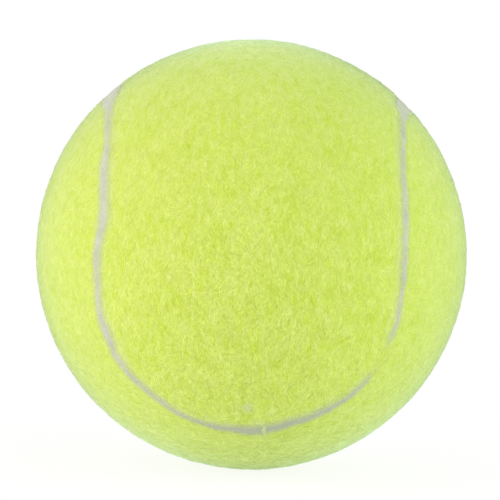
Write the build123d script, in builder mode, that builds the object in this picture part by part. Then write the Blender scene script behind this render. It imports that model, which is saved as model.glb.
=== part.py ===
"""Tennis ball: a hollow rubber core of two bonded half-shells, covered by two felt panels.

The two dumbbell-shaped panels are alike. They interlock round the core, and a band of cured
cement fills the seam between their edges. The origin is the ball's centre. Panel A crosses
the top of the ball, with its lobes at -Y and +Y, and panel B crosses the bottom, with its
lobes at -X and +X.
"""

import os
from math import atan, cos, degrees, radians, sin

from build123d import *

# Driving dimensions, in millimetres and degrees
ball_diameter = 67.0  # over the felt
felt_thickness = 3.2  # the cloth with its nap
coat_thickness = 0.2  # cement between the core and the cloth
core_wall = 3.6  # rubber
rim_film = 0.3  # cement between the rims of the half-shells
seam_width = 2.2  # between the panels' edges, at the top of the seam
seam_recess = 0.45  # from the felt down to the top of the seam
felt_edge_round = 0.45  # where the felt rolls over into the seam
neck_lean = 2.7  # how far the seam leans in over a panel's neck

# Radii of the layers, from the outside in
ball_radius = ball_diameter / 2
seam_radius = ball_radius - seam_recess
coat_radius = ball_radius - felt_thickness
core_radius = coat_radius - coat_thickness
cavity_radius = core_radius - core_wall

# The seam is four circular arcs on the sphere. Each is given by the point where it starts,
# on the equator, and the axis that it turns about. The arcs join in line with each other.
lean = radians(neck_lean)
arc_starts_and_axes = [
    (Vector(1, 1, 0), Vector(cos(lean), 0, sin(lean))),
    (Vector(1, 1, 0), Vector(0, cos(lean), -sin(lean))),
    (Vector(-1, -1, 0), Vector(-cos(lean), 0, sin(lean))),
    (Vector(-1, -1, 0), Vector(0, -cos(lean), -sin(lean))),
]
arc_sweep = 180 + 2 * degrees(atan(sin(lean)))
strip_height = 2 * (felt_thickness + core_wall)  # well past both faces of the cover

# A half turn about this axis puts either panel where the other one is
panel_swap = Axis((0, 0, 0), (1, 1, 0))

# The strip that the seam takes up, from inside the core to outside the ball
with BuildPart() as seam_strip:
    for arc_start, arc_axis in arc_starts_and_axes:
        with BuildSketch(Plane((0, 0, 0), x_dir=arc_start, z_dir=arc_axis.cross(arc_start))):
            with Locations((seam_radius, 0)):
                Rectangle(strip_height, seam_width)
        revolve(axis=Axis((0, 0, 0), arc_axis), revolution_arc=arc_sweep)


def panel_layer(low_radius, high_radius):
    """The layer between two radii, inside the outline of panel A."""
    with BuildPart() as layer:
        Sphere(high_radius)
        Sphere(low_radius, mode=Mode.SUBTRACT)
        add(seam_strip.part, mode=Mode.SUBTRACT)
    return layer.solids().sort_by(Axis.Z)[-1]


# Rubber core
with BuildPart() as core_half_upper:
    Sphere(core_radius)
    Sphere(cavity_radius, mode=Mode.SUBTRACT)
    split(bisect_by=Plane.XY.offset(rim_film / 2), keep=Keep.TOP)

with BuildPart() as core_half_lower:
    add(core_half_upper.part, rotation=(180, 0, 0))

with BuildPart() as core_joint_ring:
    Sphere(core_radius)
    Sphere(cavity_radius, mode=Mode.SUBTRACT)
    split(bisect_by=Plane.XY.offset(rim_film / 2), keep=Keep.BOTTOM)
    split(bisect_by=Plane.XY.offset(-rim_film / 2), keep=Keep.TOP)

# Cement under each panel
with BuildPart() as cement_coat_a:
    add(panel_layer(core_radius, coat_radius))

with BuildPart() as cement_coat_b:
    add(cement_coat_a.part.rotate(panel_swap, 180))

# Felt panels, with their outer edges rolled over
with BuildPart() as felt_panel_a:
    add(panel_layer(coat_radius, ball_radius))
    side_walls = felt_panel_a.faces().filter_by(GeomType.CONE)
    wall_edges = side_walls.edges().filter_by(GeomType.CIRCLE)
    fillet(wall_edges.group_by(lambda edge: (edge @ 0.5).length)[-1], felt_edge_round)

with BuildPart() as felt_panel_b:
    add(felt_panel_a.part.rotate(panel_swap, 180))

# Cement between the panels' edges
with BuildPart() as seam_band:
    Sphere(seam_radius)
    Sphere(core_radius, mode=Mode.SUBTRACT)
    add(seam_strip.part, mode=Mode.INTERSECT)

pieces = {
    "core_half_upper": core_half_upper,
    "core_half_lower": core_half_lower,
    "core_joint_ring": core_joint_ring,
    "cement_coat_a": cement_coat_a,
    "cement_coat_b": cement_coat_b,
    "felt_panel_a": felt_panel_a,
    "felt_panel_b": felt_panel_b,
    "seam_band": seam_band,
}
os.makedirs("parts", exist_ok=True)
for name, piece in pieces.items():
    piece.part.label = name
    export_step(piece.part, f"parts/{name}.step")
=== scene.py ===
"""Tennis ball: brushed felt panels, their nap of fibres and the cement seam, round the CAD core."""

import math

import bmesh
import bpy
import numpy as np
from mathutils import Matrix, Vector, noise


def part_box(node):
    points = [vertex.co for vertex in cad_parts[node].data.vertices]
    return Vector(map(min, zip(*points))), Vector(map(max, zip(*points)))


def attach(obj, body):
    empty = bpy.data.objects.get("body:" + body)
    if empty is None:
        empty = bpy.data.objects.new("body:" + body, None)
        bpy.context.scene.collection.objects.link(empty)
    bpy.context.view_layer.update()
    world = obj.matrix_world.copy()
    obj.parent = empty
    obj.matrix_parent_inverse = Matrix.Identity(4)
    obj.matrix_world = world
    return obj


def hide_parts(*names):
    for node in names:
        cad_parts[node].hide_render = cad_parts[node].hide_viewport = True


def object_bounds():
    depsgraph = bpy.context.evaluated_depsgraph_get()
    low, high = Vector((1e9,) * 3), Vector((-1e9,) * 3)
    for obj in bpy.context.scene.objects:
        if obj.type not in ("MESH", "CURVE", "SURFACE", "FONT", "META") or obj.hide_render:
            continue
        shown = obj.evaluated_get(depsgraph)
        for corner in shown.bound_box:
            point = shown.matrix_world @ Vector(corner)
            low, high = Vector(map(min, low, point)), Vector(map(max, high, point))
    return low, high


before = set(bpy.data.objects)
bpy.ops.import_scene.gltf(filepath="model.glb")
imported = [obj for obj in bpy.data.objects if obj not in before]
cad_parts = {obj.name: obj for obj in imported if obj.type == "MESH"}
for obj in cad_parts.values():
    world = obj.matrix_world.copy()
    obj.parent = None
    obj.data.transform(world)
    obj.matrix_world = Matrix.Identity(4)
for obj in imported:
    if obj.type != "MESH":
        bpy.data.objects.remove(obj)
cad_low, cad_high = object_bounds()

MM = 0.001
SIDE_A = 1
SIDE_B = -1
PANELS = {"a": SIDE_A, "b": SIDE_B}

# Sizes taken from the frame
BALL_RADIUS = (cad_high.z - cad_low.z) / 2
COAT_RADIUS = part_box("cement_coat_a")[1].y
CORE_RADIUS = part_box("core_half_upper")[1].z

# Uneven shapes are made of layers of noise. Each layer has the size of its lumps, a seed and a height, or
# in the nap's waves a turn in radians
NOISE_STEP = np.array((3.17, 7.43, 5.71))
NOISE_REACH = 100

# The seam: four arcs about tilted axes, as in the solids
NECK_LEAN = math.radians(2.7)
SEAM_HALF_WIDTH = 0.84 * MM
SEAM_RECESS = 0.08 * MM
SEAM_CROWN = 0.2 * MM
SEAM_TUCK = 0.12 * MM
SEAM_SINK = 0.4 * MM
SEAM_STEPS = 1400
SEAM_ROWS = 9
SEAM_WANDER = ((12 * MM, 7359, 0.86 * MM), (6 * MM, 22, 0.42 * MM), (3 * MM, 8112, 0.28 * MM))
SEAM_UNEVEN = ((1.6 * MM, 31, 0.05 * MM), (0.5 * MM, 32, 0.03 * MM))

# The felt: its cloth lies below the ball's outline, and the nap fills the rest
NAP_DEPTH = 0.2 * MM
CLOTH_RADIUS = BALL_RADIUS - NAP_DEPTH
CLOTH_UNEVEN = ((8 * MM, 11, 0.06 * MM), (2.2 * MM, 12, 0.03 * MM))
CLOTH_FACE_LEVEL = 8
CLOTH_BACK_LEVEL = 6

# The panels' edges: ragged, rolled over, and soaked with the seam's cement
EDGE_RAGGED = {
    SIDE_A: ((5 * MM, 3, 0.224 * MM), (1.2 * MM, 5, 0.084 * MM)),
    SIDE_B: ((5 * MM, 1, 0.224 * MM), (1.2 * MM, 3, 0.084 * MM)),
}
EDGE_ROLL = 0.3 * MM
EDGE_DROP = 0.05 * MM
EDGE_NOISE_REACH = 4 * MM
EDGE_SNAP_SHARE = 0.35
EDGE_ROUNDS = 3
EDGE_SOAK = {SIDE_A: 1.6 * MM, SIDE_B: 0.5 * MM}
EDGE_SOAK_POWER = 1.5

# The nap's short fibres, on four zones of each panel. With a power over 1, more of them are short
ZONES = 4
FIBRE_SITES = 160000
FIBRE_SEED = {SIDE_A: 720, SIDE_B: 700}
FIBRE_INSET = 0.05 * MM
FIBRE_LENGTH = (0.45 * MM, 1.6 * MM)
FIBRE_LENGTH_POWER = 1.4
FIBRE_RADIUS = (0.03 * MM, 0.06 * MM)
FIBRE_LIFT = (0.04 * MM, 0.2 * MM)
FIBRE_BEND = 0.16
FIBRE_OVERHANG = 0.5 * MM
FIBRE_WAVES = ((5 * MM, 21, 0.8),)
FIBRE_SWIRL = {SIDE_A: 0.5, SIDE_B: 1.1}
FIBRE_STRAY_SHARE = 0.08
FUZZ_WIDTH = 0.9 * MM
FUZZ_LIFT = 0.11 * MM
FUZZ_STRAY_SHARE = 0.6
FUZZ_THINNEST = 0.6

# Longer hairs over the nap
HAIR_SITES = 34000
HAIR_SEED = {SIDE_A: 70001, SIDE_B: 69999}
HAIR_LENGTH = (1.0 * MM, 3.2 * MM)
HAIR_LENGTH_POWER = 1.3
HAIR_RADIUS = (0.03 * MM, 0.05 * MM)
HAIR_LIFT = (0.12 * MM, 0.24 * MM)
HAIR_BEND = 0.13
HAIR_WAVES = ((4 * MM, 41, 1.4),)
HAIR_RINGS = 2

# Fine fibres over the seam's edges
FRINGE_COUNT = 30000
FRINGE_SEED = {SIDE_A: 7001, SIDE_B: 6999}
FRINGE_LENGTH = (0.3 * MM, 1.4 * MM)
FRINGE_LENGTH_POWER = 1.6
FRINGE_RADIUS = (0.012 * MM, 0.025 * MM)
FRINGE_LIFT = (0.05 * MM, 0.13 * MM)
FRINGE_BEND = 0.2
FRINGE_TURN = 0.8
FRINGE_INSET = 0.4 * MM

# Every fibre: how far its root, its rings and its tip rise, as shares of its lift, where the corners of a
# ring lie, how much of its own normals it keeps, and the margin of its cell in the UV map
ROOT_RISE = -0.25
RING_RISE = 1.0
TIP_RISE = 0.8
RING_ANGLES = np.radians((90, 210, 330))
FIBRE_SIDES = len(RING_ANGLES)
OWN_NORMAL_SHARE = 0.15
UV_MARGIN = 0.1

# The photograph's view: the ball's place in its picture, in pixels, and the camera's stand
PICTURE_SIDE = 500
BALL_CENTRE_PIXEL = (251.4, 254.4)
BALL_RADIUS_PIXELS = 215.0
CAMERA_DISTANCE = 30 * BALL_RADIUS
OUTLINE_SLOPE = BALL_RADIUS / math.sqrt(CAMERA_DISTANCE**2 - BALL_RADIUS**2)
CAMERA_ELEVATION = math.radians(6.06)
CAMERA_ROLL = math.radians(2.42)

# Where the felt closes over the seam, and where the seam is darker, low in front
PINCH_PIXEL = (384, 360)
PINCH_SPREAD = 0.09
PINCH_SHARPNESS = 2
PINCH_SHARE = 0.97
LOW_DARK_PIXEL = (275, 428)

# Where the seam meets the picture's outline, and is filled nearly up to the felt
RIGHT_END_PIXEL = (401.5, 102.6)
LEFT_END_PIXEL = (116, 89.5)
FULL_SPREAD = 0.18
FULL_SHARE = 0.75

# Where the seam is wider or narrower: the pixel, the spread as a share of the ball's radius, and the
# share that it widens by towards panel A and towards panel B
WIDENINGS = (
    (RIGHT_END_PIXEL, 0.18, 0.5, 1.0),
    (LEFT_END_PIXEL, 0.18, 1.2, 2.4),
    ((100, 220), 0.25, 0.25, 0.3),
    ((265, 430), 0.2, 0.65, 0.65),
    ((402, 308), 0.2, -0.4, -0.4),
    ((404, 165), 0.2, -0.15, -0.15),
    ((190, 420), 0.22, -0.35, -0.35),
    ((355, 391), 0.17, -0.3, -0.3),
)

# Two loose tufts, on the felt and across the seam: the pixel, the number of fibres, the width that they
# start in, their lengths, and how far they turn and bend
TUFTS = (
    ((248, 407), 90, 0.42 * MM, (0.5 * MM, 1.3 * MM), 1.6, 0.15),
    ((265.5, 423), 22, 0.07 * MM, (2.8 * MM, 4.4 * MM), 0.05, 0.03),
)
TUFT_SEED = 7
TUFT_LIFT = (0.16 * MM, 0.3 * MM)
TUFTED_PANEL = "a"

# Light and floor. Each lamp has a place, a side, a power and a colour
WORLD_LEVEL = 0.8
LAMPS = {
    "key": ((-1.0, -0.32, 0.24), 0.6, 5.6, (1.0, 0.89, 0.96)),
    "fill": ((1.0, -0.28, 0.36), 0.6, 4.1, (0.92, 1.0, 1.0)),
}
FLOOR_RADIUS = 4
FLOOR_SIDES = 96
FLOOR_COLOUR = (0.35, 0.35, 0.35, 1)
FLOOR_GLOW = 0.68
FLOOR_WHITE_REACH = (0.2 * BALL_RADIUS, 2.4 * BALL_RADIUS)
FLOOR_WHITE_SHARES = (0.45, 1.0)
WHITE = (1, 1, 1, 1)


# Points on the ball


def unit(vectors):
    """The vectors at length 1."""
    return vectors / np.linalg.norm(vectors, axis=-1, keepdims=True)


def shifted(points, directions, distances):
    """Unit vectors moved over the ball in their directions, by distances in metres."""
    return unit(points + directions * (distances / BALL_RADIUS)[:, None])


def turned(points, headings, turn):
    """Headings along the ball, turned about their points by angles in radians."""
    return np.cos(turn)[:, None] * headings + np.sin(turn)[:, None] * np.cross(points, headings)


def lumps(places, size, seed):
    """Smooth noise from -1 to 1 at each place, with lumps of about that size."""
    shift = seed * NOISE_STEP % NOISE_REACH
    return np.array([noise.noise(place) for place in (places / size + shift).tolist()])


def layered(points, layers):
    """The layers of noise added up, at unit vectors."""
    on_ball = points * BALL_RADIUS
    return sum(height * lumps(on_ball, size, seed) for size, seed, height in layers)


def nearness(points, place, spread, sharpness=1):
    """1 at a place on the ball, falling to 0 further off than the spread."""
    return np.exp(-((((points - place) ** 2).sum(axis=1) / spread**2) ** sharpness))


# The seam's curve


LEAN_COS = math.cos(NECK_LEAN)
LEAN_SIN = math.sin(NECK_LEAN)
ARC_COUNT = 4
ARC_AXES = np.array(
    [
        (LEAN_COS, 0, LEAN_SIN),
        (0, -LEAN_COS, -LEAN_SIN),
        (-LEAN_COS, 0, LEAN_SIN),
        (0, LEAN_COS, -LEAN_SIN),
    ]
)
ARC_STARTS = np.array([(1, 1, 0), (-1, -1, 0), (-1, -1, 0), (1, 1, 0)]) / math.sqrt(2)
ARC_IS_UP = np.array([True, False, True, False])
ARC_ANGLE = math.acos(LEAN_COS / math.sqrt(2))
ARC_SWEEP = math.pi + 2 * math.atan(LEAN_SIN)


def arc_frame(index):
    """An arc's axis, the direction of its start from that axis, and the direction that it turns to."""
    axis = ARC_AXES[index]
    start = ARC_STARTS[index]
    out = unit(start - axis * (start @ axis))
    return axis, out, np.cross(axis, out)


def seam_points(places):
    """Unit vectors to the seam's middle, and across it into panel A, at places from 0 to 4 round it."""
    middle = np.zeros((len(places), 3))
    across = np.zeros((len(places), 3))
    for index in range(ARC_COUNT):
        here = np.floor(places).astype(int) % ARC_COUNT == index
        share = places[here] % 1
        turn = ARC_SWEEP * (share if ARC_IS_UP[index] else 1 - share)
        axis, out, on = arc_frame(index)
        away = np.outer(np.cos(turn), out) + np.outer(np.sin(turn), on)
        middle[here] = math.cos(ARC_ANGLE) * axis + math.sin(ARC_ANGLE) * away
        outward = math.cos(ARC_ANGLE) * away - math.sin(ARC_ANGLE) * axis
        across[here] = outward if ARC_IS_UP[index] else -outward
    return middle, across


def seam_offset(points):
    """How far each unit vector lies from the seam's middle, in radians, positive in panel A.

    Also returns the place round the seam, from 0 to 4, and the direction straight into panel A.
    """
    nearest = np.full(len(points), np.inf)
    offset = np.zeros(len(points))
    place = np.zeros(len(points))
    inward = np.zeros((len(points), 3))
    for index in range(ARC_COUNT):
        axis, out, on = arc_frame(index)
        angle = np.arccos(np.clip(points @ axis, -1, 1))
        turn = np.arctan2(points @ on, points @ out) % (2 * math.pi)
        past_middle = (turn - ARC_SWEEP) > (2 * math.pi - ARC_SWEEP) / 2
        held = np.where(turn <= ARC_SWEEP, turn, np.where(past_middle, 0, ARC_SWEEP))
        away = np.outer(np.cos(held), out) + np.outer(np.sin(held), on)
        foot = math.cos(ARC_ANGLE) * axis + math.sin(ARC_ANGLE) * away
        distance = np.arccos(np.clip((points * foot).sum(axis=1), -1, 1))
        closer = distance < nearest
        nearest[closer] = distance[closer]
        sign = SIDE_A if ARC_IS_UP[index] else SIDE_B
        offset[closer] = (sign * np.sign(angle - ARC_ANGLE) * distance)[closer]
        share = held / ARC_SWEEP
        place[closer] = (index + (share if ARC_IS_UP[index] else 1 - share))[closer]
        outward = unit(points * np.cos(angle)[:, None] - axis)
        inward[closer] = (sign * outward)[closer]
    return offset, place, inward


# The camera comes first, because places on the ball are given by pixels of its picture


def make_camera():
    """The photograph's camera, a long lens a little above the ball's middle."""
    data = bpy.data.cameras.new("camera")
    camera = bpy.data.objects.new("camera", data)
    bpy.context.scene.collection.objects.link(camera)
    bpy.context.scene.camera = camera
    back = Vector((0, -math.cos(CAMERA_ELEVATION), math.sin(CAMERA_ELEVATION)))
    turn = (-back).to_track_quat("-Z", "Y").to_matrix() @ Matrix.Rotation(CAMERA_ROLL, 3, "Z")
    camera.matrix_world = Matrix.Translation(back * CAMERA_DISTANCE) @ turn.to_4x4()
    data.lens = BALL_RADIUS_PIXELS / OUTLINE_SLOPE / PICTURE_SIDE * data.sensor_width
    data.shift_x = (PICTURE_SIDE / 2 - BALL_CENTRE_PIXEL[0]) / PICTURE_SIDE
    data.shift_y = (BALL_CENTRE_PIXEL[1] - PICTURE_SIDE / 2) / PICTURE_SIDE
    return camera


def ball_point(camera, pixel):
    """The unit vector to where a pixel of the photograph lies on the ball."""
    slope = OUTLINE_SLOPE / BALL_RADIUS_PIXELS
    right = (pixel[0] - BALL_CENTRE_PIXEL[0]) * slope
    up = (BALL_CENTRE_PIXEL[1] - pixel[1]) * slope
    eye = np.array(camera.matrix_world.translation)
    ray = unit(np.array(camera.matrix_world.to_3x3() @ Vector((right, up, -1))))
    towards = -eye @ ray
    return unit(eye + ray * (towards - math.sqrt(towards**2 - eye @ eye + BALL_RADIUS**2)))


camera = make_camera()
PINCH = ball_point(camera, PINCH_PIXEL)
FULL_PLACES = [ball_point(camera, pixel) for pixel in (RIGHT_END_PIXEL, LEFT_END_PIXEL)]
WIDE_PLACES = [(ball_point(camera, pixel), *shares) for pixel, *shares in WIDENINGS]


# The felt panels' outline and surface


def pinched(points):
    """How far the felt closes over the seam: 1 where the panels meet, and 0 elsewhere."""
    return nearness(points, PINCH, PINCH_SPREAD, PINCH_SHARPNESS)


def seam_half_width(points, side):
    """The distance from the seam's middle to one panel's ragged edge."""
    widened = 1
    for place, spread, towards_a, towards_b in WIDE_PLACES:
        towards_side = towards_a if side == SIDE_A else towards_b
        widened = widened + towards_side * nearness(points, place, spread)
    open_share = 1 - PINCH_SHARE * pinched(points)
    return (SEAM_HALF_WIDTH + layered(points, EDGE_RAGGED[side])) * widened * open_share


def panel_edge(middle, across, side):
    """How far a panel's ragged edge lies from the seam's drawn line, positive towards panel A."""
    aside = np.zeros(len(middle))
    for _ in range(EDGE_ROUNDS):
        there = shifted(middle, across, aside)
        aside = layered(there, SEAM_WANDER) + side * seam_half_width(there, side)
    return aside


def panel_reach(points, side):
    """How far inside a panel's edge each unit vector lies, in metres at the ball's radius.

    Also returns the place round the seam and the direction straight into the panel.
    """
    offset, place, inward = seam_offset(points)
    reach = side * offset * BALL_RADIUS - SEAM_HALF_WIDTH
    near = np.abs(offset) * BALL_RADIUS < EDGE_NOISE_REACH
    from_middle = side * (offset[near] * BALL_RADIUS - layered(points[near], SEAM_WANDER))
    reach[near] = from_middle - seam_half_width(points[near], side)
    return reach, place, side * inward


def felt_height(points, reach):
    """How far the cloth lies above its plain radius: its soft unevenness and its rolled edge."""
    into_roll = np.clip(1 - reach / EDGE_ROLL, 0, 1)
    roll = EDGE_DROP * (1 - np.sqrt(1 - into_roll**2))
    return layered(points, CLOTH_UNEVEN) - roll


def edge_soak(points, reach, side):
    """How much of the seam's cement has soaked into the felt: 1 at a panel's edge, and 0 further in."""
    return np.clip(1 - reach / EDGE_SOAK[side], 0, 1) ** EDGE_SOAK_POWER * (1 - pinched(points))


def edge_loop(faces):
    """The points round the open edge of a sheet of triangles, in order."""
    directed = np.concatenate([faces[:, [0, 1]], faces[:, [1, 2]], faces[:, [2, 0]]])
    both_ways = set(map(tuple, directed.tolist()))
    following = {a: b for a, b in directed.tolist() if (b, a) not in both_ways}
    loop = [next(iter(following))]
    while following[loop[-1]] != loop[0]:
        loop.append(following[loop[-1]])
    return np.array(loop)


def cut_sphere(level, side):
    """A unit sphere's triangles inside one panel, with the outermost ones drawn to the panel's edge.

    Returns the points, the faces, the reach of each point, the edge as a loop of points, and the
    place of each point round the seam.
    """
    ball = bmesh.new()
    bmesh.ops.create_icosphere(ball, subdivisions=level, radius=1)
    points = unit(np.array([v.co for v in ball.verts]))
    faces = np.array([[v.index for v in f.verts] for f in ball.faces])
    ball.free()
    reach, place, inward = panel_reach(points, side)
    spacing = BALL_RADIUS * np.linalg.norm(points[faces[0, 0]] - points[faces[0, 1]])
    inside = reach > EDGE_SNAP_SHARE * spacing
    faces = faces[inside[faces].any(axis=1)]
    drawn = np.unique(faces[~inside[faces]])
    for _ in range(EDGE_ROUNDS):
        points[drawn] = shifted(points[drawn], inward[drawn], -reach[drawn])
        reach[drawn], place[drawn], inward[drawn] = panel_reach(points[drawn], side)
    used, faces = np.unique(faces, return_inverse=True)
    faces = faces.reshape(-1, 3)
    return points[used], faces, reach[used].clip(0), edge_loop(faces), place[used]


def from_start(loop, places):
    """An edge loop turned to start at its first place round the seam, with the way along it so far."""
    half_way = ARC_COUNT / 2
    steps = (np.diff(places[loop], append=places[loop[0]]) + half_way) % ARC_COUNT - half_way
    way = np.sign(steps.sum())
    start = np.argmin(way * places[loop])
    loop = np.roll(loop, -start)
    first = places[loop[0]] * way
    return loop, np.concatenate([[first], first + np.cumsum(way * np.roll(steps, -start))])


def zipped(outer, inner, outer_places, inner_places):
    """The triangles of the wall between two edge loops that run the same way round the seam."""
    outer, outer_at = from_start(outer, outer_places)
    inner, inner_at = from_start(inner, inner_places)
    faces = []
    i = 0
    j = 0
    while i < len(outer) or j < len(inner):
        here_outer = outer[i % len(outer)]
        here_inner = inner[j % len(inner)]
        if j == len(inner) or (i < len(outer) and outer_at[i + 1] <= inner_at[j + 1]):
            i += 1
            faces.append((outer[i % len(outer)], here_outer, here_inner))
        else:
            j += 1
            faces.append((here_inner, inner[j % len(inner)], here_outer))
    return np.array(faces)


def mesh_piece(name, points, faces, material, soaked=None):
    """A smooth mesh object that rides on the ball. Each row of faces is one face."""
    data = bpy.data.meshes.new(name)
    data.vertices.add(len(points))
    data.vertices.foreach_set("co", np.asarray(points, np.float32).ravel())
    count, width = faces.shape
    data.loops.add(count * width)
    data.loops.foreach_set("vertex_index", faces.astype(np.int32).ravel())
    data.polygons.add(count)
    data.polygons.foreach_set("loop_start", np.arange(0, count * width, width, dtype=np.int32))
    data.polygons.foreach_set("use_smooth", np.full(count, True))
    data.update(calc_edges=True)
    data.validate()
    if soaked is not None:
        attribute = data.attributes.new("soaked", "FLOAT", "POINT")
        attribute.data.foreach_set("value", soaked.astype(np.float32))
    data.materials.append(material)
    piece = bpy.data.objects.new(name, data)
    bpy.context.scene.collection.objects.link(piece)
    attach(piece, "root")
    return piece


def felt_panel(name, side, material):
    """A felt panel as a closed shell: the cloth's face, its rolled edge and its back on the cement."""
    face_points, face_faces, reach, face_loop, face_place = cut_sphere(CLOTH_FACE_LEVEL, side)
    back_points, back_faces, _, back_loop, back_place = cut_sphere(CLOTH_BACK_LEVEL, side)
    heights = CLOTH_RADIUS + felt_height(face_points, reach)
    points = np.concatenate([face_points * heights[:, None], back_points * COAT_RADIUS])
    first = len(face_points)
    wall = zipped(face_loop, back_loop + first, face_place, np.concatenate([face_place, back_place]))
    faces = np.concatenate([face_faces, back_faces[:, ::-1] + first, wall])
    soaked = np.concatenate([edge_soak(face_points, reach, side), np.ones(len(back_points))])
    return mesh_piece(name, points, faces, material, soaked)


# The nap


def strands(roots, headings, lengths, radii, lifts, bends, bases, rings=1):
    """Closed, pointed fibres of three sides that rise from their roots and lie over along the ball.

    roots and headings are unit vectors, bases the radius of the cloth under each fibre. Each fibre has
    a number of rings of three corners between its root and its tip.
    """
    sideways = np.cross(roots, headings)
    path = []
    for share, rise in zip(np.linspace(0, 1, rings + 2), (ROOT_RISE, *[RING_RISE] * rings, TIP_RISE)):
        bow = 4 * share * (1 - share)
        ahead = (lengths * share / BALL_RADIUS)[:, None] * headings
        aside = (lengths * bends * bow / BALL_RADIUS)[:, None] * sideways
        path.append(unit(roots + ahead + aside) * (bases + lifts * rise)[:, None])
    corners = []
    for before, here, after in zip(path, path[1:], path[2:]):
        on = unit(after - before)
        across = unit(np.cross(on, unit(here)))
        up = np.cross(across, on)
        for angle in RING_ANGLES:
            corners.append(here + radii[:, None] * (math.cos(angle) * across + math.sin(angle) * up))
    points = np.stack([path[0], *corners, path[-1]], axis=1)
    tip = points.shape[1] - 1
    last_ring = tip - FIBRE_SIDES
    faces = []
    for corner in range(FIBRE_SIDES):
        following = (corner + 1) % FIBRE_SIDES
        faces.append((0, 1 + corner, 1 + following))
        for ring in range(1, last_ring, FIBRE_SIDES):
            next_ring = ring + FIBRE_SIDES
            faces.append((ring + corner, next_ring + corner, next_ring + following))
            faces.append((ring + corner, next_ring + following, ring + following))
        faces.append((tip, last_ring + following, last_ring + corner))
    first = points.shape[1] * np.arange(len(roots))[:, None, None]
    return points.reshape(-1, 3), (first + np.array(faces)).reshape(-1, 3)


def nap_piece(name, points, faces, material, soaked):
    """A mesh of fibres, fine enough for light to pass: they throw no shadow on each other or the cloth."""
    soaked_points = np.repeat(soaked, len(points) // len(soaked))
    piece = mesh_piece(name, points, faces, material, soaked_points)
    map_fibres(piece, len(soaked))
    soften(piece)
    piece.visible_shadow = False
    piece.visible_diffuse = False
    return piece


def map_fibres(piece, count):
    """Gives each fibre a cell of its own in a UV map, so that a bake holds its colour."""
    between_ends = len(piece.data.vertices) // count - 2
    rings = between_ends // FIBRE_SIDES
    heights = np.linspace(UV_MARGIN, 1 - UV_MARGIN, rings + 2)
    corners = [(aside, height) for height in heights[1:-1] for aside in (0.5, UV_MARGIN, 1 - UV_MARGIN)]
    cell = np.array([(0.5, heights[0]), *corners, (0.5, heights[-1])])
    cells_wide = math.ceil(math.sqrt(count))
    cells = np.stack([np.arange(count) % cells_wide, np.arange(count) // cells_wide], axis=1)
    spots = ((cells[:, None, :] + cell) / cells_wide).reshape(-1, 2)
    loop_points = np.zeros(len(piece.data.loops), np.int32)
    piece.data.loops.foreach_get("vertex_index", loop_points)
    layer = piece.data.uv_layers.new(name="OFBake")
    layer.data.foreach_set("uv", spots[loop_points].astype(np.float32).ravel())


def soften(piece):
    """Turns the fibres' normals towards the ball's own, as light scattered in a deep nap evens them out."""
    data = piece.data
    own = np.zeros(3 * len(data.vertices))
    places = np.zeros(3 * len(data.vertices))
    data.vertices.foreach_get("normal", own)
    data.vertices.foreach_get("co", places)
    outward = unit(places.reshape(-1, 3))
    blended = unit(outward + OWN_NORMAL_SHARE * (own.reshape(-1, 3) - outward))
    data.normals_split_custom_set_from_vertices(blended.tolist())


def sizes(limits, rng, count, power=1.0):
    """Random sizes between two limits, with more of the small ones where power is over 1."""
    low, high = limits
    return low + (high - low) * rng.random(count) ** power


def brushed(roots, side):
    """The headings along a panel's length, which its nap is brushed along."""
    crossways = (1, 0, 0) if side == SIDE_A else (0, 1, 0)
    return unit(np.cross(crossways, roots))


def cloth_under(roots):
    """The radius of the cloth under fibres, away from its rolled edge."""
    return CLOTH_RADIUS + felt_height(roots, np.full(len(roots), EDGE_ROLL))


def nap_zone(name, side, zone, material):
    """The short fibres on one quarter of the ball, inside one panel, with stray ones along its edge."""
    rng = np.random.default_rng(FIBRE_SEED[side] + zone)
    roots = unit(rng.normal(size=(FIBRE_SITES, 3)))
    turn_round = np.arctan2(roots[:, 1], roots[:, 0]) / (2 * math.pi)
    roots = roots[np.floor(turn_round * ZONES + 0.5).astype(int) % ZONES == zone]
    reach, _, _ = panel_reach(roots, side)
    roots = roots[reach > FIBRE_INSET]
    reach = reach[reach > FIBRE_INSET]
    count = len(roots)
    lengths = sizes(FIBRE_LENGTH, rng, count, FIBRE_LENGTH_POWER)
    swirl = layered(roots, FIBRE_WAVES) + rng.normal(scale=FIBRE_SWIRL[side], size=count)
    stray_share = np.where(reach < FUZZ_WIDTH, FUZZ_STRAY_SHARE, FIBRE_STRAY_SHARE)
    is_stray = rng.random(count) < stray_share
    turn = np.where(is_stray, rng.uniform(-math.pi, math.pi, count), swirl)
    headings = turned(roots, brushed(roots, side), turn)
    tip_reach, _, _ = panel_reach(shifted(roots, headings, lengths), side)
    kept = tip_reach > -FIBRE_OVERHANG * rng.random(count)
    roots, headings, lengths, reach = roots[kept], headings[kept], lengths[kept], reach[kept]
    count = len(roots)
    lifts = np.maximum(sizes(FIBRE_LIFT, rng, count), np.where(reach < FUZZ_WIDTH, FUZZ_LIFT, 0))
    bends = rng.normal(scale=FIBRE_BEND, size=count)
    thickness = FUZZ_THINNEST + (1 - FUZZ_THINNEST) * np.clip(reach / FUZZ_WIDTH, 0, 1)
    radii = sizes(FIBRE_RADIUS, rng, count) * thickness
    points, faces = strands(roots, headings, lengths, radii, lifts, bends, cloth_under(roots))
    return nap_piece(name, points, faces, material, edge_soak(roots, reach, side))


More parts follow.
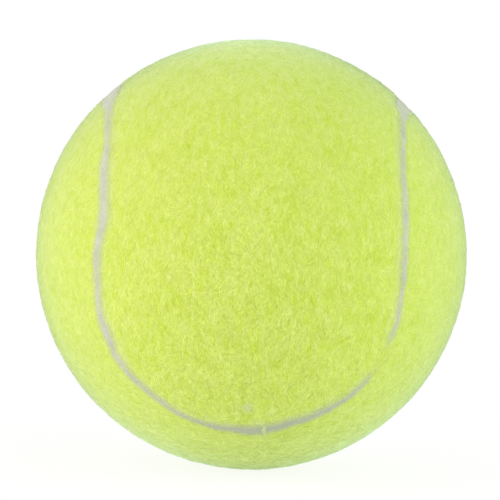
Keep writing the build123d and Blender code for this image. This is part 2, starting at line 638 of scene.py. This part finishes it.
def long_hairs(name, side, material):
    """Longer, curved hairs that lie over the nap of a panel in swirls."""
    rng = np.random.default_rng(HAIR_SEED[side])
    roots = unit(rng.normal(size=(HAIR_SITES, 3)))
    reach, _, _ = panel_reach(roots, side)
    roots = roots[reach > 0]
    lengths = sizes(HAIR_LENGTH, rng, len(roots), HAIR_LENGTH_POWER)
    turn = layered(roots, HAIR_WAVES) + rng.normal(scale=FIBRE_SWIRL[side], size=len(roots))
    headings = turned(roots, brushed(roots, side), turn)
    tip_reach, _, _ = panel_reach(shifted(roots, headings, lengths), side)
    kept = tip_reach > 0
    roots, headings, lengths = roots[kept], headings[kept], lengths[kept]
    count = len(roots)
    lifts = sizes(HAIR_LIFT, rng, count)
    radii = sizes(HAIR_RADIUS, rng, count)
    bends = rng.normal(scale=HAIR_BEND, size=count)
    points, faces = strands(roots, headings, lengths, radii, lifts, bends, cloth_under(roots), HAIR_RINGS)
    return nap_piece(name, points, faces, material, np.zeros(count))


def edge_fringe(name, side, material):
    """Fine fibres along a panel's cut edge that lie over the seam."""
    rng = np.random.default_rng(FRINGE_SEED[side])
    middle, across = seam_points(ARC_COUNT * rng.random(FRINGE_COUNT))
    inset = FRINGE_INSET * rng.random(FRINGE_COUNT)
    roots = shifted(middle, across, panel_edge(middle, across, side) + side * inset)
    over = unit(-side * (across - roots * (across * roots).sum(axis=1, keepdims=True)))
    headings = turned(roots, over, rng.normal(scale=FRINGE_TURN, size=FRINGE_COUNT))
    lengths = sizes(FRINGE_LENGTH, rng, FRINGE_COUNT, FRINGE_LENGTH_POWER)
    lifts = sizes(FRINGE_LIFT, rng, FRINGE_COUNT)
    bends = rng.normal(scale=FRINGE_BEND, size=FRINGE_COUNT)
    radii = sizes(FRINGE_RADIUS, rng, FRINGE_COUNT)
    bases = np.full(FRINGE_COUNT, CLOTH_RADIUS)
    points, faces = strands(roots, headings, lengths, radii, lifts, bends, bases)
    return nap_piece(name, points, faces, material, edge_soak(roots, inset, side))


def loose_tufts(name, material):
    """Two pale tufts at the front: one on the felt above the seam, and one that lies across the seam."""
    rng = np.random.default_rng(TUFT_SEED)
    down = np.array((0, 0, -1.0))
    groups = []
    for pixel, count, width, length_limits, turn_spread, bend_spread in TUFTS:
        scatter = rng.normal(scale=width / BALL_RADIUS, size=(count, 3))
        roots = unit(ball_point(camera, pixel) + scatter)
        along = unit(down - roots * (roots @ down)[:, None])
        headings = turned(roots, along, rng.normal(scale=turn_spread, size=count))
        bends = rng.normal(scale=bend_spread, size=count)
        groups.append((roots, headings, sizes(length_limits, rng, count), bends))
    roots, headings, lengths, bends = (np.concatenate(part) for part in zip(*groups))
    count = len(roots)
    lifts = sizes(TUFT_LIFT, rng, count)
    radii = sizes(FIBRE_RADIUS, rng, count)
    bases = np.full(count, CLOTH_RADIUS)
    points, faces = strands(roots, headings, lengths, radii, lifts, bends, bases)
    return nap_piece(name, points, faces, material, np.zeros(count))


# The seam


def seam_piece(name, material):
    """The cement between the panels, as a closed ring with a slightly uneven top."""
    middle, across = seam_points(np.arange(SEAM_STEPS) * ARC_COUNT / SEAM_STEPS)
    sunk = SEAM_SINK * pinched(middle)
    filled = FULL_SHARE * sum(nearness(middle, place, FULL_SPREAD) for place in FULL_PLACES)
    low_edge = panel_edge(middle, across, SIDE_B) - SEAM_TUCK
    high_edge = panel_edge(middle, across, SIDE_A) + SEAM_TUCK
    rows = []
    for share in np.linspace(-1, 1, SEAM_ROWS):
        row = shifted(middle, across, ((1 - share) * low_edge + (1 + share) * high_edge) / 2)
        recess = (SEAM_RECESS + SEAM_CROWN * share**2) * (1 - filled)
        height = BALL_RADIUS - recess - sunk + layered(row, SEAM_UNEVEN)
        rows.append(row * height[:, None])
    rows += [unit(rows[-1]) * CORE_RADIUS, unit(rows[0]) * CORE_RADIUS]
    points = np.stack(rows, axis=1).reshape(-1, 3)
    width = len(rows)
    a, b = np.meshgrid(np.arange(SEAM_STEPS), np.arange(width), indexing="ij")
    a_next = (a + 1) % SEAM_STEPS
    b_next = (b + 1) % width
    corners = (a, b), (a, b_next), (a_next, b_next), (a_next, b)
    faces = np.stack([along * width + over for along, over in corners], axis=-1)
    return mesh_piece(name, points, faces.reshape(-1, 4), material)


# Materials


class Nodes:
    """Builds a material's nodes: sockets are linked and plain values are set."""

    def __init__(self, name):
        self.material = bpy.data.materials.new(name)
        self.material.use_nodes = True
        self.tree = self.material.node_tree
        self.shader = self.tree.nodes["Principled BSDF"]
        self.place = self.add("ShaderNodeTexCoord").outputs["Object"]

    def put(self, socket, value):
        """Links a socket to another one, or sets its value."""
        if isinstance(value, bpy.types.NodeSocket):
            self.tree.links.new(value, socket)
        else:
            socket.default_value = value

    def add(self, kind, settings=None, **inputs):
        """A new node with its settings and its inputs."""
        node = self.tree.nodes.new(kind)
        for key, value in (settings or {}).items():
            setattr(node, key, value)
        for key, value in inputs.items():
            self.put(node.inputs[key.replace("_", " ")], value)
        return node

    def mapped(self, scale, location=(0, 0, 0)):
        """The place on the ball in metres, scaled along each axis and moved."""
        mapping = self.add("ShaderNodeMapping", Vector=self.place, Scale=scale, Location=location)
        return mapping.outputs["Vector"]

    def noise(self, size, detail=2, along=(1, 1, 1)):
        """Noise from 0 to 1 with lumps of a size in metres, longer along an axis whose share is small."""
        vector = self.mapped(along)
        return self.add("ShaderNodeTexNoise", Vector=vector, Scale=1 / size, Detail=detail).outputs["Fac"]

    def distance(self, place):
        """The distance from a place, in metres."""
        node = self.add("ShaderNodeVectorMath", {"operation": "DISTANCE"}, Vector=self.place)
        node.inputs[1].default_value = place
        return node.outputs["Value"]

    def span(self, value, low, high, to_low=0.0, to_high=1.0):
        """A value from low to high, moved to another span and held to it."""
        node = self.add("ShaderNodeMapRange", {"clamp": True}, Value=value)
        for key, number in (("From Min", low), ("From Max", high), ("To Min", to_low), ("To Max", to_high)):
            self.put(node.inputs[key], number)
        return node.outputs["Result"]

    def product(self, first, second):
        """Two numbers, multiplied."""
        node = self.add("ShaderNodeMath", {"operation": "MULTIPLY"})
        self.put(node.inputs[0], first)
        self.put(node.inputs[1], second)
        return node.outputs[0]

    def mix(self, share, first, second):
        """Two colours, mixed by a share."""
        node = self.add("ShaderNodeMix", {"data_type": "RGBA"})
        self.put(node.inputs[0], share)
        self.put(node.inputs[6], first)
        self.put(node.inputs[7], second)
        return node.outputs[2]

    def bump(self, height, distance, strength):
        """Feeds the shader's normal from a height."""
        node = self.add("ShaderNodeBump", Height=height, Distance=distance, Strength=strength)
        self.put(self.shader.inputs["Normal"], node.outputs["Normal"])

    def set(self, **values):
        """Sets or links inputs of the shader."""
        for key, value in values.items():
            self.put(self.shader.inputs[key.replace("_", " ")], value)


def linear(level):
    """A picture's level, from 11 to 255, in linear light."""
    share = level / 255
    return ((share + 0.055) / 1.055) ** 2.4


def colour(red, green, blue):
    """A colour given as a picture's levels, in linear light."""
    return (linear(red), linear(green), linear(blue), 1.0)


# The felt's colours, and how far its noise and its fibres vary them
# The first colour is painted shade: the cloth seen between the fibres, darker and deeper
FELT_GAP_SHADE = colour(164, 191, 56)
FELT_DEEP = colour(202, 226, 62)
FELT_PALE = colour(226, 240, 134)
FELT_TUFT = colour(222, 236, 168)
FELT_SOAKED = colour(206, 210, 176)
SOAKED_SHARE = 0.55
TUFT_SHARES = (0.7, 1.0)
FIBRE_LEVELS = (0.89, 1.09)
HAIR_LEVELS = (0.72, 1.31)
PATCH_SIZE = 5 * MM
PATCH_SPAN = (0.35, 0.65)
PATCH_SHARES = (0.15, 0.4)
CLUMP_SIZE = 0.9 * MM
CLUMP_SPAN = (0.3, 0.7)
CLUMP_SHARES = (0.0, 0.75)
GRAIN_SIZE = 0.28 * MM
GRAIN_SPAN = (0.25, 0.75)
FIBRE_GRAIN = (0.91, 1.09)
CLOTH_GRAIN = (0.89, 1.11)
# Painted shade between the fibres: the size of its spots, the noise span, and how much of the cloth it
# darkens
GAP_SHADE_SIZE = 0.34 * MM
GAP_SHADE_SPAN = (0.4, 0.65)
GAP_SHADE_SHARES = (0.12, 0.53)
GRAIN_ALONG = {SIDE_A: (1, 0.45, 0.45), SIDE_B: (0.7, 1, 0.7)}

# Darker fibres and grain are deeper in colour
DEPTH_LEVELS = (0.7, 1.08)
DEPTH_SATURATIONS = (1.11, 0.975)

# Painted light: how much of its contrast the felt keeps. It keeps all of it near a line from front to back,
# a little under the ball's middle, and less further off, at the sides and top where the lamps light it
# flatly
LIT_CONTRAST_SCALE = (1 / BALL_RADIUS, 0, 0.7 / BALL_RADIUS)
LIT_CONTRAST_SHIFT = (0, 0, 0.2)
LIT_CONTRAST_REACH = (0.25, 0.95)
LIT_CONTRAST_SHARES = (1.0, 0.42)

# The felt's sheen
SHEEN = 1.0
SHEEN_ROUGHNESS = 0.42
SHEEN_TINT = (0.74, 1.0, 0.75, 1)

# The seam's and the inner pieces' colours
SEAM_PALE = colour(198, 203, 180)
SEAM_GREY = colour(180, 187, 162)
SEAM_SPECK = colour(160, 166, 142)
SEAM_LOW_DARK = colour(167, 174, 150)
LOW_DARK_REACH = (0.2 * BALL_RADIUS, 0.9 * BALL_RADIUS)
LOW_DARK_SHARES = (0.7, 0.0)
RUBBER_DARK = colour(88, 86, 84)
RUBBER_SCUFF = colour(112, 109, 105)
CEMENT_PALE = colour(206, 172, 120)
CEMENT_DARK = colour(176, 138, 88)


def painted_light_contrast(nodes):
    """Painted light: 1 in front, behind and underneath, and less at the sides and top, lit flatly by the
    lamps.
    """
    vector = nodes.mapped(LIT_CONTRAST_SCALE, LIT_CONTRAST_SHIFT)
    away = nodes.add("ShaderNodeVectorMath", {"operation": "LENGTH"}, Vector=vector)
    return nodes.span(away.outputs["Value"], *LIT_CONTRAST_REACH, *LIT_CONTRAST_SHARES)


def weakened(nodes, levels, contrast):
    """A low and a high level, drawn towards their middle by a contrast under 1."""
    middle = sum(levels) / 2
    return [nodes.span(contrast, 0, 1, middle, level) for level in levels]


def felt_tone(nodes, along, contrast, grain_levels, level=1.0):
    """The felt's colour: soft patches, pale clumps and fine grain along the way that the nap is brushed."""
    patches = nodes.span(nodes.noise(PATCH_SIZE), *PATCH_SPAN, *PATCH_SHARES)
    tone = nodes.mix(patches, FELT_DEEP, FELT_PALE)
    clumps = nodes.span(nodes.noise(CLUMP_SIZE, 3, along), *CLUMP_SPAN, *CLUMP_SHARES)
    tone = nodes.mix(clumps, tone, FELT_PALE)
    soaked = nodes.add("ShaderNodeAttribute", {"attribute_name": "soaked"}).outputs["Fac"]
    tone = nodes.mix(nodes.span(soaked, 0, 1, 0, SOAKED_SHARE), tone, FELT_SOAKED)
    grain_span = *GRAIN_SPAN, *weakened(nodes, grain_levels, contrast)
    grain = nodes.span(nodes.noise(GRAIN_SIZE, 2, along), *grain_span)
    value = nodes.product(grain, level)
    depth = nodes.span(value, *DEPTH_LEVELS, *DEPTH_SATURATIONS)
    shade = nodes.add("ShaderNodeHueSaturation", Saturation=depth, Value=value, Color=tone)
    return shade.outputs["Color"]


def set_felt(nodes, tone, roughness):
    """Gives a felt's shader its colour and its sheen."""
    nodes.set(Base_Color=tone, Roughness=roughness, Specular_IOR_Level=0.1)
    nodes.set(Sheen_Weight=SHEEN, Sheen_Roughness=SHEEN_ROUGHNESS, Sheen_Tint=SHEEN_TINT)


def cloth_material(name, along):
    """The matted cloth under the nap, with painted shade where it shows between the fibres."""
    nodes = Nodes(name)
    # The texture's contrast, painted lower where the lamps light the felt flatly
    contrast = painted_light_contrast(nodes)
    rounder = [(1 + share) / 2 for share in along]
    # Painted shade: the cloth is darkened in spots where it shows between the fibres, which throw no shadow
    gap_shade_span = *GAP_SHADE_SPAN, *weakened(nodes, GAP_SHADE_SHARES, contrast)
    gap_shade = nodes.span(nodes.noise(GAP_SHADE_SIZE, 2, rounder), *gap_shade_span)
    tone = nodes.mix(gap_shade, felt_tone(nodes, along, contrast, CLOTH_GRAIN), FELT_GAP_SHADE)
    set_felt(nodes, tone, roughness=0.95)
    nodes.bump(nodes.noise(0.35 * MM, 3, along), distance=0.08 * MM, strength=0.5)
    return nodes.material


def nap_material(name, along, levels, tint=None):
    """The fibres: each has a brightness of its own."""
    nodes = Nodes(name)
    # The texture's contrast, painted lower where the lamps light the felt flatly
    contrast = painted_light_contrast(nodes)
    own = nodes.add("ShaderNodeNewGeometry").outputs["Random Per Island"]
    level = nodes.span(own, 0, 1, *weakened(nodes, levels, contrast))
    tone = felt_tone(nodes, along, contrast, FIBRE_GRAIN, level)
    if tint:
        tone = nodes.mix(nodes.span(own, 0, 1, *TUFT_SHARES), tone, tint)
    set_felt(nodes, tone, roughness=0.9)
    return nodes.material


def seam_material(name):
    """Grey cured cement, a little stained and rough, and darker low in front."""
    nodes = Nodes(name)
    stains = nodes.span(nodes.noise(3 * MM, detail=4), 0.35, 0.7)
    specks = nodes.span(nodes.noise(0.35 * MM, detail=3), 0.45, 0.75, to_high=0.4)
    # The seam is darker round one place low in front
    from_low_dark = nodes.distance(ball_point(camera, LOW_DARK_PIXEL) * BALL_RADIUS)
    tone = nodes.mix(stains, SEAM_PALE, SEAM_GREY)
    tone = nodes.mix(specks, tone, SEAM_SPECK)
    tone = nodes.mix(nodes.span(from_low_dark, *LOW_DARK_REACH, *LOW_DARK_SHARES), tone, SEAM_LOW_DARK)
    nodes.set(Base_Color=tone, Roughness=0.85, Specular_IOR_Level=0.2)
    nodes.bump(nodes.noise(0.4 * MM, detail=3), distance=0.05 * MM, strength=0.7)
    return nodes.material


def rubber_material(name):
    """Dark moulded rubber, buffed so that the cement takes."""
    nodes = Nodes(name)
    scuffs = nodes.span(nodes.noise(1.5 * MM, detail=5), 0.4, 0.65)
    roughness = nodes.span(scuffs, 0, 1, 0.6, 0.85)
    nodes.set(Base_Color=nodes.mix(scuffs, RUBBER_DARK, RUBBER_SCUFF), Roughness=roughness)
    nodes.bump(nodes.noise(0.3 * MM, detail=4), distance=0.04 * MM, strength=0.6)
    return nodes.material


def cement_material(name):
    """A brushed film of cured rubber cement."""
    nodes = Nodes(name)
    strokes = nodes.span(nodes.noise(1.2 * MM, detail=4, along=(1, 0.25, 1)), 0.35, 0.7)
    roughness = nodes.span(strokes, 0, 1, 0.35, 0.55)
    nodes.set(Base_Color=nodes.mix(strokes, CEMENT_PALE, CEMENT_DARK), Roughness=roughness)
    nodes.bump(strokes, distance=0.04 * MM, strength=0.5)
    return nodes.material


# Stage and light


def background_rays(tree):
    """1 for the rays that see the background as plain white, and 0 for those that light the ball."""
    rays = tree.nodes.new("ShaderNodeLightPath").outputs
    seen = rays["Is Camera Ray"]
    for kind in ("Is Glossy Ray", "Is Transmission Ray"):
        either = tree.nodes.new("ShaderNodeMath")
        either.operation = "MAXIMUM"
        tree.links.new(seen, either.inputs[0])
        tree.links.new(rays[kind], either.inputs[1])
        seen = either.outputs[0]
    return seen


def make_floor():
    """A white table that glows softly, so lighting the ball from below. The camera sees it keep a lightened
    shadow of the ball, turning to plain white further off.
    """
    bpy.ops.mesh.primitive_circle_add(
        vertices=FLOOR_SIDES, radius=FLOOR_RADIUS, fill_type="NGON", location=(0, 0, cad_low.z)
    )
    floor = bpy.context.object
    floor.name = "floor"
    nodes = Nodes("floor")
    nodes.set(Base_Color=FLOOR_COLOUR, Roughness=1.0, Specular_IOR_Level=0.0)
    # A glow of its own, which lights the ball from below like a lamp
    nodes.set(Emission_Color=WHITE, Emission_Strength=FLOOR_GLOW)
    far = nodes.span(nodes.distance((0, 0, 0)), *FLOOR_WHITE_REACH, *FLOOR_WHITE_SHARES)
    white = nodes.add("ShaderNodeEmission", Strength=1.0)
    both = nodes.add("ShaderNodeMixShader")
    nodes.put(both.inputs[0], nodes.product(background_rays(nodes.tree), far))
    nodes.put(both.inputs[1], nodes.shader.outputs[0])
    nodes.put(both.inputs[2], white.outputs[0])
    nodes.put(nodes.tree.nodes["Material Output"].inputs["Surface"], both.outputs[0])
    floor.data.materials.append(nodes.material)


def make_world():
    """Even white light from all round, seen by the camera as plain white."""
    world = bpy.data.worlds.new("studio")
    bpy.context.scene.world = world
    world.use_nodes = True
    tree = world.node_tree
    background = tree.nodes["Background"]
    background.inputs["Color"].default_value = WHITE
    level = tree.nodes.new("ShaderNodeMapRange")
    level.inputs["To Min"].default_value = WORLD_LEVEL
    tree.links.new(background_rays(tree), level.inputs["Value"])
    tree.links.new(level.outputs["Result"], background.inputs["Strength"])


def make_lamp(name, place, side, power, tint):
    """A soft square lamp that faces the ball."""
    data = bpy.data.lights.new(name, "AREA")
    data.size = side
    data.energy = power
    data.color = tint
    lamp = bpy.data.objects.new(name, data)
    bpy.context.scene.collection.objects.link(lamp)
    lamp.location = place
    lamp.rotation_mode = "QUATERNION"
    lamp.rotation_quaternion = (-Vector(place)).to_track_quat("-Z", "Y")


make_world()
for lamp_name, lamp_values in LAMPS.items():
    make_lamp(lamp_name, *lamp_values)
make_floor()
bpy.context.scene.view_settings.view_transform = "Standard"


# The ball

for letter, side in PANELS.items():
    along = GRAIN_ALONG[side]
    cloth = cloth_material(f"felt_cloth_{letter}", along)
    panel = felt_panel(f"felt_cloth_{letter}", side, cloth)
    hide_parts(f"felt_panel_{letter}")
    fibre = nap_material(f"felt_nap_{letter}", along, FIBRE_LEVELS)
    hair = nap_material(f"felt_hair_{letter}", along, HAIR_LEVELS)
    naps = [nap_zone(f"felt_nap_{letter}_{zone + 1}", side, zone, fibre) for zone in range(ZONES)]
    naps.append(long_hairs(f"felt_hairs_{letter}", side, hair))
    naps.append(edge_fringe(f"felt_fringe_{letter}", side, fibre))
    if letter == TUFTED_PANEL:
        tuft = nap_material("felt_tuft", along, FIBRE_LEVELS, FELT_TUFT)
        naps.append(loose_tufts("felt_tufts", tuft))

seam = seam_piece("seam", seam_material("seam_cement"))
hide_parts("seam_band")

rubber = rubber_material("core_rubber")
cement = cement_material("bond_cement")
CAD_MATERIALS = {
    "core_half_upper": rubber,
    "core_half_lower": rubber,
    "core_joint_ring": cement,
    "cement_coat_a": cement,
    "cement_coat_b": cement,
}
for node, material in CAD_MATERIALS.items():
    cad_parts[node].data.materials.clear()
    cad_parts[node].data.materials.append(material)
